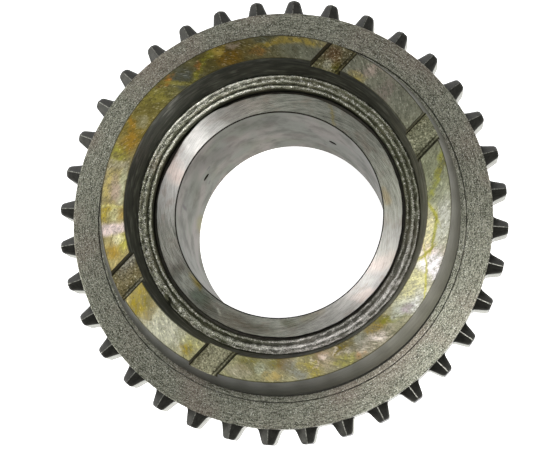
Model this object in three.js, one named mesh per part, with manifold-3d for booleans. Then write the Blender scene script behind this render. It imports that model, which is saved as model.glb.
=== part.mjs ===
// Sun gear clutch hub of a planetary gear set.
// A bored sleeve carries the sun gear's teeth at the rear. A hub with a friction cone sits on the sleeve's
// front spigot and is welded to it inside the counterbore. A ring of pointed dog teeth sits round the hub.
// Millimetres. The axis is Z, the rear face lies at Z = 0 and the grooved end face looks up +Z.
import * as THREE from 'three';
import { ConvexGeometry } from 'three/addons/geometries/ConvexGeometry.js';
import * as BufferGeometryUtils from 'three/addons/utils/BufferGeometryUtils.js';
import Module from 'manifold-3d';

// Driving dimensions
const HEIGHT = 61.2; // rear face to the grooved end face
const SEGMENTS = 72; // facets round every turned surface
const GAP = 0.3; // clearance kept between two touching pieces
const OVERLAP = 1; // how far joined shapes run into each other

// Sleeve and its bore
const BORE_RADIUS = 30;
const BORE_CHAMFER = 0.5;
const FLANGE_DEPTH = 13.4; // end face to the sleeve's inner flange face
const FLANGE_RADIUS = 35.6; // outer edge of that face
const GROOVE_DEPTH = 15.2; // floor of the narrow groove beside the weld
const SPIGOT_RADIUS = 36.6; // the hub sits on this
const SPIGOT_END_DEPTH = 30.3; // the hub's rear face rests here
const REAR_BOSS_RADIUS = 40;
const REAR_BOSS_LENGTH = 3.2;

// Sun gear teeth on the sleeve
const SUN_TEETH = 34;
const SUN_MODULE = 2.75;
const SUN_ROOT_SHARE = 0.36; // half a tooth's width as a share of the pitch, at the root
const SUN_PITCH_SHARE = 0.25;
const SUN_TIP_SHARE = 0.13;
const SUN_ROOT_RADIUS = SUN_MODULE * (SUN_TEETH / 2 - 1.25);
const SUN_PITCH_RADIUS = SUN_MODULE * SUN_TEETH / 2;
const SUN_TIP_RADIUS = SUN_MODULE * (SUN_TEETH / 2 + 1);
const RUNOUT_RADIUS = 42; // tool run-out between the shoulder and the teeth
const RUNOUT_LENGTH = 3.7;

// Radial oil holes, drilled in the tooth spaces
const OIL_HOLE_RADIUS = 1.3;
const OIL_HOLE_DEPTH = 40.2; // end face to the holes' axes
const OIL_HOLE_FIRST = 62; // degrees from +X
const OIL_HOLE_STEP = 8 * 360 / SUN_TEETH; // eight tooth spaces on

// Hub, friction cone and end face
const FACE_INNER_RADIUS = 42.6;
const FACE_OUTER_RADIUS = 49.35;
const CONE_BASE_RADIUS = 52.1;
const CONE_LENGTH = 12.3;
const RELIEF_RADIUS = 50.2; // relief turned under the cone
const RELIEF_TOP_DEPTH = 13.4;
const RING_DEPTH = 18.6; // end face to the clutch ring's face
const RING_THICKNESS = 11.4;
const COUNTERBORE_DEPTH = 10.3; // end of the smooth tapered wall
const COUNTERBORE_END_RADIUS = 40.6;
const WELD_LEDGE_DEPTH = 14.6;
const WELD_LEDGE_RADIUS = 39.6;

// Oil grooves across the end face
const OIL_GROOVE_WIDTH = 8.25;
const OIL_GROOVE_DEPTH = 3.3;
const OIL_GROOVE_OFFSET = 16.8; // centreline to the axis
const OIL_GROOVE_ANGLE = 46.5; // degrees from +X

// Weld bead
const BEAD_INNER_RADIUS = SPIGOT_RADIUS + 0.1;
const BEAD_OUTER_RADIUS = 40.1;
const BEAD_CROWN_DEPTH = 10.6;
const BEAD_SHOULDER_DROP = 1.1; // crown down to the bead's outer edge
const BEAD_TOE_DROP = 1.9; // crown down to its inner edge
const BEAD_RUNS = [[0.85, 0], [0.55, 0.45], [0.25, 0.8]]; // share of the width, drop below the crown

// Clutch ring and dog teeth
const JOINT_RADIUS = 53.85;
const RING_ROOT_RADIUS = 61.5;
const DOG_TIP_RADIUS = 66;
const DOG_TEETH = 36;
const DOG_FIRST = 6.6; // degrees from +X
const DOG_ROOT_HALF_WIDTH = 3.5; // half a tooth, just inside the ring's edge
const DOG_TIP_HALF_WIDTH = 1.7;
const DOG_RIDGE_DROP_ROOT = 0.15; // ridge below the ring's face, at the root
const DOG_RIDGE_DROP_TIP = 1.4;
const DOG_SHOULDER_DROP = 3.4; // flank edge below the ring's face
const DOG_RING_EDGE = 0.35; // chamfer on the ring's front edge

const wasm = await Module();
wasm.setup();

// A closed profile of [radius, height] points turned about the Z axis.
function turned(profile) {
  const points = profile.map(([radius, height]) => new THREE.Vector2(radius, height));
  points.push(points[0].clone());
  const geometry = new THREE.LatheGeometry(points, SEGMENTS);
  geometry.rotateX(Math.PI / 2);
  return geometry;
}

// A closed geometry as a solid whose faces point out.
function solid(geometry) {
  geometry.deleteAttribute('normal');
  geometry.deleteAttribute('uv');
  const merged = BufferGeometryUtils.mergeVertices(geometry, 1e-4);
  const vertProperties = new Float32Array(merged.attributes.position.array);
  const triVerts = new Uint32Array(merged.index.array);
  if (signedVolume(vertProperties, triVerts) < 0) {
    for (let i = 0; i < triVerts.length; i += 3) {
      [triVerts[i], triVerts[i + 1]] = [triVerts[i + 1], triVerts[i]];
    }
  }
  return new wasm.Manifold(new wasm.Mesh({ numProp: 3, vertProperties, triVerts }));
}

function signedVolume(vertices, triangles) {
  const [a, b, c] = [new THREE.Vector3(), new THREE.Vector3(), new THREE.Vector3()];
  let total = 0;
  for (let i = 0; i < triangles.length; i += 3) {
    a.fromArray(vertices, 3 * triangles[i]);
    b.fromArray(vertices, 3 * triangles[i + 1]);
    c.fromArray(vertices, 3 * triangles[i + 2]);
    total += a.dot(b.cross(c));
  }
  return total / 6;
}

// A solid as a named mesh of the group.
function addPiece(group, name, manifold, colour, roughness) {
  const result = manifold.getMesh();
  const geometry = new THREE.BufferGeometry();
  geometry.setAttribute('position', new THREE.BufferAttribute(result.vertProperties, 3));
  geometry.setIndex(new THREE.BufferAttribute(result.triVerts, 1));
  geometry.computeVertexNormals();
  const material = new THREE.MeshStandardMaterial({ color: colour, roughness, metalness: 1 });
  const mesh = new THREE.Mesh(geometry, material);
  mesh.name = name;
  group.add(mesh);
}

const atDepth = (depth) => HEIGHT - depth;
const radians = THREE.MathUtils.degToRad;

// One dog tooth: a tapered block with a roof-shaped front and a ridge along its middle.
function dogTooth(angle) {
  const rootRadius = RING_ROOT_RADIUS - OVERLAP;
  const rear = atDepth(RING_DEPTH + RING_THICKNESS);
  const shoulder = atDepth(RING_DEPTH + DOG_SHOULDER_DROP);
  const corners = [];
  for (const side of [-1, 1]) {
    for (const height of [rear, shoulder]) {
      corners.push(new THREE.Vector3(rootRadius, side * DOG_ROOT_HALF_WIDTH, height));
      corners.push(new THREE.Vector3(DOG_TIP_RADIUS, side * DOG_TIP_HALF_WIDTH, height));
    }
  }
  corners.push(new THREE.Vector3(rootRadius, 0, atDepth(RING_DEPTH + DOG_RIDGE_DROP_ROOT)));
  corners.push(new THREE.Vector3(DOG_TIP_RADIUS, 0, atDepth(RING_DEPTH + DOG_RIDGE_DROP_TIP)));
  const geometry = new ConvexGeometry(corners);
  geometry.rotateZ(radians(angle));
  return solid(geometry);
}

function clutchRing() {
  const inner = JOINT_RADIUS + GAP / 2;
  const front = atDepth(RING_DEPTH);
  const rear = atDepth(RING_DEPTH + RING_THICKNESS);
  let ring = solid(turned([
    [inner, rear],
    [RING_ROOT_RADIUS, rear],
    [RING_ROOT_RADIUS, front - DOG_RING_EDGE],
    [RING_ROOT_RADIUS - DOG_RING_EDGE, front],
    [inner, front],
  ]));
  for (let tooth = 0; tooth < DOG_TEETH; tooth += 1) {
    ring = ring.add(dogTooth(DOG_FIRST + tooth * 360 / DOG_TEETH));
  }
  return ring;
}

// One straight cutter across the end face, at a signed distance from the axis.
function grooveCutter(offset) {
  const geometry = new THREE.BoxGeometry(4 * FACE_OUTER_RADIUS, OIL_GROOVE_WIDTH, 2 * OIL_GROOVE_DEPTH);
  geometry.translate(0, offset, HEIGHT);
  geometry.rotateZ(radians(OIL_GROOVE_ANGLE));
  return solid(geometry);
}

function coneHub() {
  const rear = atDepth(RING_DEPTH + RING_THICKNESS);
  const boreRadius = SPIGOT_RADIUS + GAP;
  const body = solid(turned([
    [boreRadius, rear],
    [JOINT_RADIUS - GAP / 2, rear],
    [JOINT_RADIUS - GAP / 2, atDepth(RING_DEPTH)],
    [RELIEF_RADIUS, atDepth(RING_DEPTH)],
    [RELIEF_RADIUS, atDepth(RELIEF_TOP_DEPTH)],
    [CONE_BASE_RADIUS, atDepth(CONE_LENGTH)],
    [FACE_OUTER_RADIUS, HEIGHT],
    [FACE_INNER_RADIUS, HEIGHT],
    [COUNTERBORE_END_RADIUS, atDepth(COUNTERBORE_DEPTH)],
    [WELD_LEDGE_RADIUS, atDepth(WELD_LEDGE_DEPTH)],
    [boreRadius, atDepth(WELD_LEDGE_DEPTH)],
  ]));
  return body.subtract(grooveCutter(OIL_GROOVE_OFFSET)).subtract(grooveCutter(-OIL_GROOVE_OFFSET));
}

// The weld fills the space over the hub's ledge and stands up in a low crown of three runs.
function weldBead() {
  const base = atDepth(WELD_LEDGE_DEPTH - GAP);
  const crown = atDepth(BEAD_CROWN_DEPTH);
  const width = BEAD_OUTER_RADIUS - BEAD_INNER_RADIUS;
  const profile = [
    [BEAD_INNER_RADIUS, base],
    [WELD_LEDGE_RADIUS - GAP, base],
    [BEAD_OUTER_RADIUS, crown - BEAD_SHOULDER_DROP],
  ];
  for (const [share, drop] of BEAD_RUNS) {
    profile.push([BEAD_INNER_RADIUS + share * width, crown - drop]);
  }
  profile.push([BEAD_INNER_RADIUS, crown - BEAD_TOE_DROP]);
  return solid(turned(profile));
}

// The sun gear's outline: straight-sided teeth that narrow towards the tip.
function sunOutline() {
  const pitch = 2 * Math.PI / SUN_TEETH;
  const shares = [
    [SUN_ROOT_RADIUS, SUN_ROOT_SHARE],
    [SUN_PITCH_RADIUS, SUN_PITCH_SHARE],
    [SUN_TIP_RADIUS, SUN_TIP_SHARE],
  ];
  const points = [];
  for (let tooth = 0; tooth < SUN_TEETH; tooth += 1) {
    const centre = radians(OIL_HOLE_FIRST) + (tooth + 0.5) * pitch;
    const rising = shares.map(([radius, share]) => [radius, centre - share * pitch]);
    const falling = shares.map(([radius, share]) => [radius, centre + share * pitch]).reverse();
    for (const [radius, angle] of [...rising, ...falling]) {
      points.push(new THREE.Vector2(radius * Math.cos(angle), radius * Math.sin(angle)));
    }
  }
  return new THREE.Shape(points);
}

function oilHole(angle) {
  const length = SUN_TIP_RADIUS;
  const geometry = new THREE.CylinderGeometry(OIL_HOLE_RADIUS, OIL_HOLE_RADIUS, length, 12);
  geometry.rotateZ(Math.PI / 2);
  geometry.translate(BORE_RADIUS - OVERLAP + length / 2, 0, atDepth(OIL_HOLE_DEPTH));
  geometry.rotateZ(radians(angle));
  return solid(geometry);
}

function sunGearSleeve() {
  const bore = BORE_RADIUS;
  const flange = atDepth(FLANGE_DEPTH);
  const teethTop = atDepth(SPIGOT_END_DEPTH + RUNOUT_LENGTH);
  const teethBottom = REAR_BOSS_LENGTH;
  let body = solid(turned([
    [bore, BORE_CHAMFER],
    [bore + BORE_CHAMFER, 0],
    [REAR_BOSS_RADIUS, 0],
    [REAR_BOSS_RADIUS, teethBottom + OVERLAP],
    [RUNOUT_RADIUS, teethBottom + OVERLAP],
    [RUNOUT_RADIUS, atDepth(SPIGOT_END_DEPTH)],
    [SPIGOT_RADIUS, atDepth(SPIGOT_END_DEPTH)],
    [SPIGOT_RADIUS, atDepth(GROOVE_DEPTH)],
    [FLANGE_RADIUS, atDepth(GROOVE_DEPTH)],
    [FLANGE_RADIUS, flange],
    [bore + BORE_CHAMFER, flange],
    [bore, flange - BORE_CHAMFER],
  ]));
  const outline = sunOutline();
  const hollow = new THREE.Path();
  hollow.absarc(0, 0, (RUNOUT_RADIUS + BORE_RADIUS) / 2, 0, 2 * Math.PI, true);
  outline.holes.push(hollow);
  const depth = teethTop - teethBottom;
  const teeth = new THREE.ExtrudeGeometry(outline, { depth, bevelEnabled: false, curveSegments: 36 });
  teeth.translate(0, 0, teethBottom);
  body = body.add(solid(teeth));
  for (const side of [0, 180]) {
    body = body.subtract(oilHole(OIL_HOLE_FIRST + side));
    body = body.subtract(oilHole(OIL_HOLE_FIRST + OIL_HOLE_STEP + side));
  }
  return body;
}

const hubAssembly = new THREE.Group();
addPiece(hubAssembly, 'clutch_ring', clutchRing(), 0x77786f, 0.45);
addPiece(hubAssembly, 'cone_hub', coneHub(), 0x8a8b80, 0.35);
addPiece(hubAssembly, 'weld_bead', weldBead(), 0x4e4d42, 0.6);
addPiece(hubAssembly, 'sun_gear_sleeve', sunGearSleeve(), 0x9a9c95, 0.3);

export default hubAssembly;
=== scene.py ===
"""Looks of the sun gear clutch hub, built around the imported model. Lengths here are millimetres."""
import math

import bmesh
import bpy
from mathutils import Matrix, Vector, noise


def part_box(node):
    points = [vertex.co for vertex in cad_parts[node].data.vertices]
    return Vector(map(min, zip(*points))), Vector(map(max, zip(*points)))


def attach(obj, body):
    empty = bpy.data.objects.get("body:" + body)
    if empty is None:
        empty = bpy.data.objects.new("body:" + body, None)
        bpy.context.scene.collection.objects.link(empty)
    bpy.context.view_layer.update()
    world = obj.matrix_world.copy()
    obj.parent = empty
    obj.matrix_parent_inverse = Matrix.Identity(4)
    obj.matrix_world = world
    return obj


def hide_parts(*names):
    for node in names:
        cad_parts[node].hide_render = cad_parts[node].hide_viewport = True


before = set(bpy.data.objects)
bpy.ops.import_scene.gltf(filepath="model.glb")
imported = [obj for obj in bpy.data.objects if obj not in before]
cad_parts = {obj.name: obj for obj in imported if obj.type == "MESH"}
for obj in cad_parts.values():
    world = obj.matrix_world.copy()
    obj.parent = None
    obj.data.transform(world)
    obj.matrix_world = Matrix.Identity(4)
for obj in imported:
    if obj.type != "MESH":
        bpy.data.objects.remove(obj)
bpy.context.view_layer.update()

MM = 0.001
TURN = 2 * math.pi


def node_box(node):
    """Lowest and highest corner of a CAD node, in millimetres."""
    low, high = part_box(node)
    return low / MM, high / MM


# Levels and radii that the frame gives. The CAD hub stops CAD_JOINT_GAP short of the joint.
CAD_JOINT_GAP = 0.15
HEIGHT = node_box("cone_hub")[1].z
RING_REAR = node_box("clutch_ring")[0].z
RING_FACE = node_box("clutch_ring")[1].z
JOINT_RADIUS = node_box("cone_hub")[1].x + CAD_JOINT_GAP
SUN_TIP_RADIUS = node_box("sun_gear_sleeve")[1].y
FLANGE_FACE = node_box("sun_gear_sleeve")[1].z
BEAD_CROWN = node_box("weld_bead")[1].z

# Sleeve
BORE_RADIUS = 30.0
BORE_CHAMFER = 0.35
FLANGE_RADIUS = 35.6
# The flange's face gets a painted highlight, a lighter colour, round this azimuth and opposite it
FLANGE_HIGHLIGHT_ANGLE = math.radians(147)
# Where the weld has pushed the flange's outer edge out or in: degrees, half width in degrees, mm
FLANGE_WAVES = ((128, 11, 0.5), (152, 8, -0.3), (115, 2.5, -0.25))
SPIGOT_RADIUS = 36.6
GROOVE_FLOOR = HEIGHT - 15.2
SHOULDER = HEIGHT - 30.3
REAR_BOSS_RADIUS = 40.0
REAR_BOSS_LENGTH = 3.2
RUNOUT_RADIUS = 42.0
RUNOUT_LENGTH = 3.7
SUN_TEETH = 34
SUN_MODULE = 2.75
PRESSURE_ANGLE = math.radians(20)
OIL_HOLE_RADIUS = 1.3
OIL_HOLE_LEVEL = HEIGHT - 40.2
OIL_HOLE_FIRST = math.radians(62)
OIL_HOLE_STEP = 8 * TURN / SUN_TEETH

# Hub
FACE_INNER_RADIUS = 42.6
FACE_OUTER_RADIUS = 49.35
CONE_BASE_RADIUS = 52.1
CONE_LENGTH = 12.3
RELIEF_RADIUS = 50.2
RELIEF_TOP = HEIGHT - 13.4
COUNTERBORE_LENGTH = 10.3
COUNTERBORE_END_RADIUS = 41.0
JOINT_GAP = 0.11
JOINT_DEPTH = 1.2
FIT_GAP = 0.01
WELD_LEDGE = HEIGHT - 14.6
WELD_LEDGE_RADIUS = 39.9
HUB_BORE_RADIUS = 36.9
OIL_GROOVE_WIDTH = 8.25
OIL_GROOVE_DEPTH = 3.3
OIL_GROOVE_OFFSET = 16.8
OIL_GROOVE_ANGLE = math.radians(46.5)

# Weld bead: the mean surface falls inwards
BEAD_OUTER_RADIUS = 40.75
BEAD_INNER_RADIUS = 36.45
BEAD_SLOPE = -0.16
BEAD_LEVEL = BEAD_CROWN - 0.4
BEAD_SURFACE = BEAD_LEVEL + BEAD_SLOPE * BEAD_OUTER_RADIUS
BEAD_PIT_ANGLE = math.radians(218)
BEAD_PIT_RADIUS = 40.4
# The azimuths round which the bead's ridges differ
BEAD_UPPER_LEFT = math.radians(135)
BEAD_RIGHT = math.radians(10)

# Dog teeth
DOG_TEETH = 36
DOG_FIRST = math.radians(6.6)
RING_ROOT_RADIUS = 61.5
DOG_TIP_RADIUS = 66.0
DOG_ROOT_HALF = 3.45
DOG_TIP_HALF = 1.7
DOG_TIP_ROUND = 0.9
DOG_RIDGE_DROP = (0.15, 1.4)
DOG_SHOULDER_DROP = 3.4
DOG_LAND_HALF = 0.13
DOG_LAND_SHARE = 0.2
DOG_BEVEL_SHARE = 0.93
DOG_FLARE_LENGTH = 0.8
RING_EDGE = 0.45

# Camera, from the centre of the end face
CAMERA_OFFSET = Vector((42.2, -73.7, 417.2))
CAMERA_RIGHT = Vector((0.99499, 0.0, -0.09998))
CAMERA_BACK = Vector((0.09877, -0.15492, 0.98298))
CAMERA_LENS = 99.67
SENSOR_WIDTH = 36.0

# Mesh steps: round a turned piece, round and across the bead, and from a fillet to its support point
STEPS_AROUND = 720
BEAD_AROUND = 1800
BEAD_ACROSS = 30
SUPPORT = 0.12

# Radii at which noise laid round the axis has its stated scale
AROUND_RADIUS = 50
SPIRAL_RADIUS = 33


# Mesh making

def rounded(corners):
    """A closed profile of (radius, height, fillet) corners. Each fillet becomes an arc with a support
    point on both sides."""
    out = []
    for i, (r, z, fillet) in enumerate(corners):
        here = Vector((r, z))
        before = Vector(corners[i - 1][:2]) - here
        after = Vector(corners[(i + 1) % len(corners)][:2]) - here
        if fillet <= 0:
            out.append((r, z))
            continue
        half = before.angle(after) / 2
        reach = fillet / math.tan(half)
        start = here + before.normalized() * reach
        end = here + after.normalized() * reach
        out.append(tuple(start + before.normalized() * SUPPORT))
        for step in range(4):
            t = step / 3
            point = start * (1 - t) ** 2 + here * 2 * t * (1 - t) + end * t * t
            out.append(tuple(point))
        out.append(tuple(end + after.normalized() * SUPPORT))
    return out


def ring_of_quads(loops, points):
    """Quads between closed loops of points that follow one another round the axis."""
    faces = []
    for i in range(loops):
        a, b = i * points, ((i + 1) % loops) * points
        for j in range(points):
            k = (j + 1) % points
            faces.append((a + j, b + j, b + k, a + k))
    return faces


def lathe(profile, shape=None):
    """Vertices and quads of a closed profile turned about Z. shape(r, z, angle) may move each point."""
    verts = []
    for i in range(STEPS_AROUND):
        angle = TURN * i / STEPS_AROUND
        for r, z in profile:
            if shape:
                r, z = shape(r, z, angle)
            verts.append((r * math.cos(angle), r * math.sin(angle), z))
    return verts, ring_of_quads(STEPS_AROUND, len(profile))


def grid_solid(top, bottom):
    """A closed body between two grids of the same size, rows of points."""
    rows, cols = len(top), len(top[0])
    verts = [p for row in top for p in row] + [p for row in bottom for p in row]
    base = rows * cols
    faces = []
    for i in range(rows - 1):
        for j in range(cols - 1):
            a = i * cols + j
            quad = (a, a + 1, a + cols + 1, a + cols)
            faces.append(quad)
            faces.append(tuple(base + v for v in reversed(quad)))
    rim = list(range(cols))
    rim += [i * cols + cols - 1 for i in range(1, rows)]
    rim += [(rows - 1) * cols + j for j in range(cols - 2, -1, -1)]
    rim += [i * cols for i in range(rows - 2, 0, -1)]
    for a, b in zip(rim, rim[1:] + rim[:1]):
        faces.append((b, a, base + a, base + b))
    return verts, faces


def mesh_object(name, parts):
    """One object of several (vertices, faces) bodies in millimetres, with its faces pointing out."""
    verts, faces = [], []
    for v, f in parts:
        start = len(verts)
        verts += [tuple(c * MM for c in p) for p in v]
        faces += [tuple(start + i for i in face) for face in f]
    mesh = bpy.data.meshes.new(name)
    mesh.from_pydata(verts, [], faces)
    bm = bmesh.new()
    bm.from_mesh(mesh)
    bmesh.ops.recalc_face_normals(bm, faces=bm.faces)
    bm.to_mesh(mesh)
    bm.free()
    obj = bpy.data.objects.new(name, mesh)
    bpy.context.scene.collection.objects.link(obj)
    return obj


def combine(target, tool, operation):
    """Joins or cuts target with tool, and removes tool."""
    modifier = target.modifiers.new("combine", "BOOLEAN")
    modifier.operation = operation
    modifier.solver = "MANIFOLD"
    modifier.object = tool
    graph = bpy.context.evaluated_depsgraph_get()
    result = bpy.data.meshes.new_from_object(target.evaluated_get(graph))
    target.modifiers.clear()
    target.data = result
    bpy.data.objects.remove(tool)


def finish_piece(obj, node, surfaces, use, choose, sharp=28):
    """Gives the piece the surfaces named in use, face by face, and its place in the frame."""
    mesh = obj.data
    mesh.materials.clear()
    for name in use:
        mesh.materials.append(surfaces[name])
    for polygon in mesh.polygons:
        centre = polygon.center / MM
        radius = math.hypot(centre.x, centre.y)
        outward = 0.0
        if radius > 0:
            outward = (polygon.normal.x * centre.x + polygon.normal.y * centre.y) / radius
        polygon.material_index = use.index(choose(centre, radius, polygon.normal, outward))
        polygon.use_smooth = True
    mesh.set_sharp_from_angle(angle=math.radians(sharp))
    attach(obj, "root")
    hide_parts(node)


# Material making

def rgb(red, green, blue):
    """A display colour, 0 to 255, as the linear colour that shaders use."""
    def linear(value):
        value /= 255
        return value / 12.92 if value <= 0.04045 else ((value + 0.055) / 1.055) ** 2.4
    return linear(red), linear(green), linear(blue)


class Tree:
    """Short ways to add nodes to a node tree. A value is a constant, or a socket to link."""

    def __init__(self, tree):
        self.tree = tree

    def put(self, value, socket):
        if isinstance(value, bpy.types.NodeSocket):
            self.tree.links.new(value, socket)
        else:
            socket.default_value = value

    def add(self, kind, values=None, **settings):
        """A new node with its settings, and with values on the inputs that they name."""
        node = self.tree.nodes.new(kind)
        for key, value in settings.items():
            setattr(node, key, value)
        for key, value in (values or {}).items():
            self.put(value, node.inputs[key])
        return node

    def math(self, operation, a, b=0.0, c=0.0):
        return self.add("ShaderNodeMath", {0: a, 1: b, 2: c}, operation=operation).outputs[0]

    def times(self, a, b):
        return self.math("MULTIPLY", a, b)

    def madd(self, a, b, c):
        """a * b + c"""
        return self.math("MULTIPLY_ADD", a, b, c)

    def length(self, a, b):
        """The square root of a * a + b * b"""
        return self.math("SQRT", self.math("ADD", self.times(a, a), self.times(b, b)))

    def between(self, value, low, high):
        """0 at low and 1 at high, smooth between them. low may be the larger."""
        values = {"Value": value, "From Min": low, "From Max": high}
        return self.add("ShaderNodeMapRange", values, interpolation_type="SMOOTHSTEP").outputs[0]

    def mix(self, share, a, b):
        """A share of colour b over colour a. Each is a socket or a display colour."""
        node = self.add("ShaderNodeMix", {0: share}, data_type="RGBA")
        colours = [s for s in node.inputs if s.type == "RGBA"]
        for value, socket in zip((a, b), colours):
            self.put((*rgb(*value), 1) if isinstance(value, tuple) else value, socket)
        return [s for s in node.outputs if s.type == "RGBA"][0]


def soft_oval_group():
    """A node group that lays one soft oval of colour round an angle in degrees and a radius in mm.
    Width is in degrees, height in mm, and slant in degrees for each mm of radius."""
    group = bpy.data.node_groups.new("stain", "ShaderNodeTree")
    inputs = (
        ("Colour", "Color"), ("Angle", "Float"), ("Radius", "Float"), ("Breakup", "Float"),
        ("At Angle", "Float"), ("Width", "Float"), ("At Radius", "Float"), ("Height", "Float"),
        ("Tone", "Color"), ("Strength", "Float"), ("Slant", "Float"),
    )
    for name, kind in inputs:
        group.interface.new_socket(name, in_out="INPUT", socket_type="NodeSocket" + kind)
    group.interface.new_socket("Colour", in_out="OUTPUT", socket_type="NodeSocketColor")
    t = Tree(group)
    given = t.add("NodeGroupInput").outputs
    out = t.math("SUBTRACT", given["Radius"], given["At Radius"])
    turn = t.math("SUBTRACT", given["Angle"], given["At Angle"])
    turn = t.math("SUBTRACT", turn, t.times(given["Slant"], out))
    across = t.math("DIVIDE", turn, given["Width"])
    along = t.math("DIVIDE", out, given["Height"])
    share = t.times(t.between(t.length(across, along), 0.85, 0.2), given["Strength"])
    t.add("NodeGroupOutput", {0: t.mix(t.times(share, given["Breakup"]), given["Colour"], given["Tone"])})
    return group


SOFT_OVAL_GROUP = soft_oval_group()


class Graph(Tree):
    """The node tree of a new material, and its colour so far. Lengths in it are millimetres."""

    def __init__(self, name, metallic=1.0, specular=0.5, edge_tint=1.0):
        self.material = bpy.data.materials.new(name)
        self.material.use_nodes = True
        self.material.diffuse_color = (0.4, 0.4, 0.38, 1)
        super().__init__(self.material.node_tree)
        self.shader = self.tree.nodes["Principled BSDF"].inputs
        self.shader["Metallic"].default_value = metallic
        self.shader["Specular IOR Level"].default_value = specular
        self.shader["Specular Tint"].default_value = (edge_tint, edge_tint, edge_tint, 1)
        self.place = self.vector("SCALE", self.add("ShaderNodeTexCoord").outputs["Object"], 1 / MM)
        self.x, self.y, self.z = self.add("ShaderNodeSeparateXYZ", {0: self.place}).outputs
        self.radius = self.length(self.x, self.y)
        self.angle = self.math("DEGREES", self.math("ARCTAN2", self.y, self.x))

    def vector(self, operation, a, b):
        second = "Scale" if operation == "SCALE" else 1
        return self.add("ShaderNodeVectorMath", {0: a, second: b}, operation=operation).outputs[0]

    def stretched(self, across, along):
        """Noise coordinates with one scale across the axis and another along it."""
        return self.vector("MULTIPLY", self.place, (across, across, along))

    def around(self, across, along, depth=1.0):
        """Noise coordinates on turned faces: across for each mm of radius, along for each mm round the
        axis at AROUND_RADIUS, and depth for each mm of height."""
        x = self.times(self.math("DIVIDE", self.x, self.radius), AROUND_RADIUS * along)
        y = self.times(self.math("DIVIDE", self.y, self.radius), AROUND_RADIUS * along)
        z = self.math("ADD", self.times(self.radius, across), self.times(self.z, depth))
        return self.add("ShaderNodeCombineXYZ", {0: x, 1: y, 2: z}).outputs[0]

    def spiral(self, pitch, sweep, along=0.0):
        """Noise coordinates for fine marks that cross a turned face at a slant, about pitch mm apart at
        SPIRAL_RADIUS."""
        turn = self.madd(self.radius, sweep, self.math("RADIANS", self.angle))
        x = self.times(self.math("COSINE", turn), SPIRAL_RADIUS / pitch)
        y = self.times(self.math("SINE", turn), SPIRAL_RADIUS / pitch)
        return self.add("ShaderNodeCombineXYZ", {0: x, 1: y, 2: self.times(self.radius, along)}).outputs[0]

    def noise_node(self, vector, scale, detail, roughness):
        values = {"Vector": vector, "Scale": scale, "Detail": detail, "Roughness": roughness}
        return self.add("ShaderNodeTexNoise", values)

    def noise(self, vector, scale=1.0, detail=2.0, roughness=0.5, low=0.0, high=1.0):
        """Noise, spread by between where low and high are given."""
        value = self.noise_node(vector, scale, detail, roughness).outputs[0]
        return value if (low, high) == (0.0, 1.0) else self.between(value, low, high)

    def wandering(self, turn, reach, scale=0.25, seam=180.0):
        """The (angle, radius) pair, moved about by noise, so that patches get uneven edges. The angle
        runs up to seam."""
        moved = self.noise_node(self.place, scale, 4, 0.62).outputs["Color"]
        turned, reached, _ = self.add("ShaderNodeSeparateXYZ", {0: moved}).outputs
        wrapped = self.math("FLOORED_MODULO", self.math("ADD", self.angle, 360 - seam), 360)
        angle = self.math("ADD", wrapped, seam - 360)
        angle = self.math("ADD", angle, self.madd(turned, 2 * turn, -turn))
        return angle, self.math("ADD", self.radius, self.madd(reached, 2 * reach, -reach))

    def base(self, share, a, b):
        """Starts the colour as a share of b over a."""
        self.colour = self.mix(share, a, b)

    def tint(self, share, tone, strength=1):
        """Lays a display colour over the colour, at strength times share."""
        if strength != 1:
            share = self.times(share, strength)
        self.colour = self.mix(share, self.colour, tone)

    def scale(self, factor):
        """Makes the colour lighter or darker."""
        self.colour = self.vector("SCALE", self.colour, factor)

    def stains(self, stains, place=None, breakup=1.0):
        """Lays stains, and patches of painted light and shade, over the colour, at an (angle, radius)
        place. breakup scales them.
        """
        place = place or (self.angle, self.radius)
        for angle, width, radius, height, tone, strength, *slant in stains:
            stain = (angle, width, radius, height, (*rgb(*tone), 1), strength, *slant)
            values = dict(enumerate((self.colour, *place, breakup, *stain)))
            self.colour = self.add("ShaderNodeGroup", values, node_tree=SOFT_OVAL_GROUP).outputs[0]

    def ramp(self, value, stops):
        """A colour that runs smoothly through (position, display colour) stops."""
        node = self.add("ShaderNodeValToRGB", {0: value})
        elements = node.color_ramp.elements
        while len(elements) < len(stops):
            elements.new(0.5)
        for element, (position, tone) in zip(elements, stops):
            element.position = position
            element.color = (*rgb(*tone), 1)
        return node.outputs[0]

    def finish(self, roughness, height, strength, distance, anisotropic=0.0):
        """Gives the shader the colour, a roughness, and bumps of about distance mm."""
        values = {"Strength": strength, "Distance": distance * MM, "Height": height}
        bump = self.add("ShaderNodeBump", values)
        self.put(self.colour, self.shader["Base Color"])
        self.put(roughness, self.shader["Roughness"])
        self.put(bump.outputs[0], self.shader["Normal"])
        if anisotropic:
            tangent = self.add("ShaderNodeTangent", direction_type="RADIAL", axis="Z")
            self.shader["Anisotropic"].default_value = anisotropic
            self.shader["Anisotropic Rotation"].default_value = 0.25
            self.put(tangent.outputs[0], self.shader["Tangent"])
        return self.material


# Stain colours that more than one list uses, as red, green and blue on a display
OCHRE = (162, 142, 34)
AMBER = (138, 114, 30)
RUST = (94, 72, 24)
OLIVE = (108, 100, 34)
PALE = (204, 204, 186)
BLUSH = (196, 180, 172)

# The end face's tone, which changes round the axis, from -155 to 205 degrees
FACE_SEAM = 205.0
FACE_TONES = (
    (-150, (190, 176, 118)), (-134, (200, 199, 172)), (-120, (182, 179, 140)), (-100, (150, 148, 112)),
    (-80, (156, 150, 118)), (-62, (112, 108, 86)), (-45, (118, 115, 92)), (-28, (170, 167, 142)),
    (-8, (166, 165, 142)), (10, (132, 134, 108)), (40, (122, 122, 106)), (72, (118, 118, 102)),
    (88, (100, 96, 70)), (106, (86, 78, 44)), (128, (84, 82, 54)), (152, (114, 102, 52)),
    (168, (129, 121, 94)), (196, (178, 165, 112)),
)
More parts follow.
